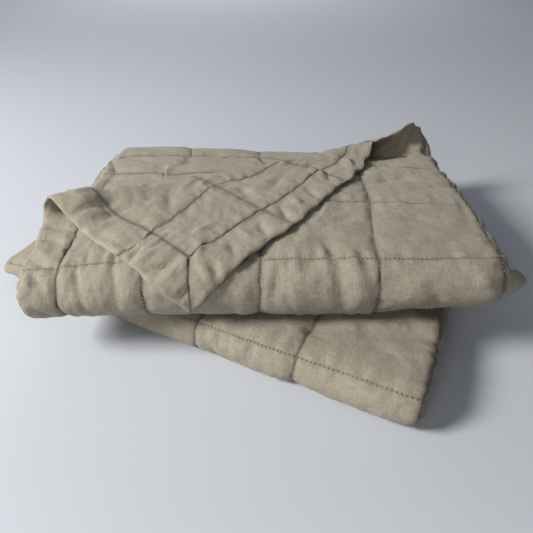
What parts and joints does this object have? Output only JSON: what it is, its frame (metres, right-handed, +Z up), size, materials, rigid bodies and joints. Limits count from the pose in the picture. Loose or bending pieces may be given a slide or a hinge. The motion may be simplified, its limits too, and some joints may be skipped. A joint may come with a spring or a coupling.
{
  "type": "folded quilted bedspread",
  "caption": "Washed cotton bedspread with square quilting and a plain mitred border, folded into two stacked pads with its top corner turned back.",
  "frame": {"origin": "centre of the bounding box at its lowest level, which is the surface that the folded bedspread lies on", "axes": "+Z up; +X to the right along the upper pad's front fold as seen from the front; +Y away from the viewer, from that fold towards the open ends"},
  "size_m": [0.7828, 0.6603, 0.1762],
  "materials": {
    "quilted_cotton": "matte",
    "border_cotton": "matte"
  },
  "bodies": {
    "root": {"quilted_panel": "quilted_cotton", "border_outer_side": "border_cotton", "border_inner_side": "border_cotton", "border_top_end": "border_cotton", "border_foot_end": "border_cotton"}
  },
  "joints": []
}
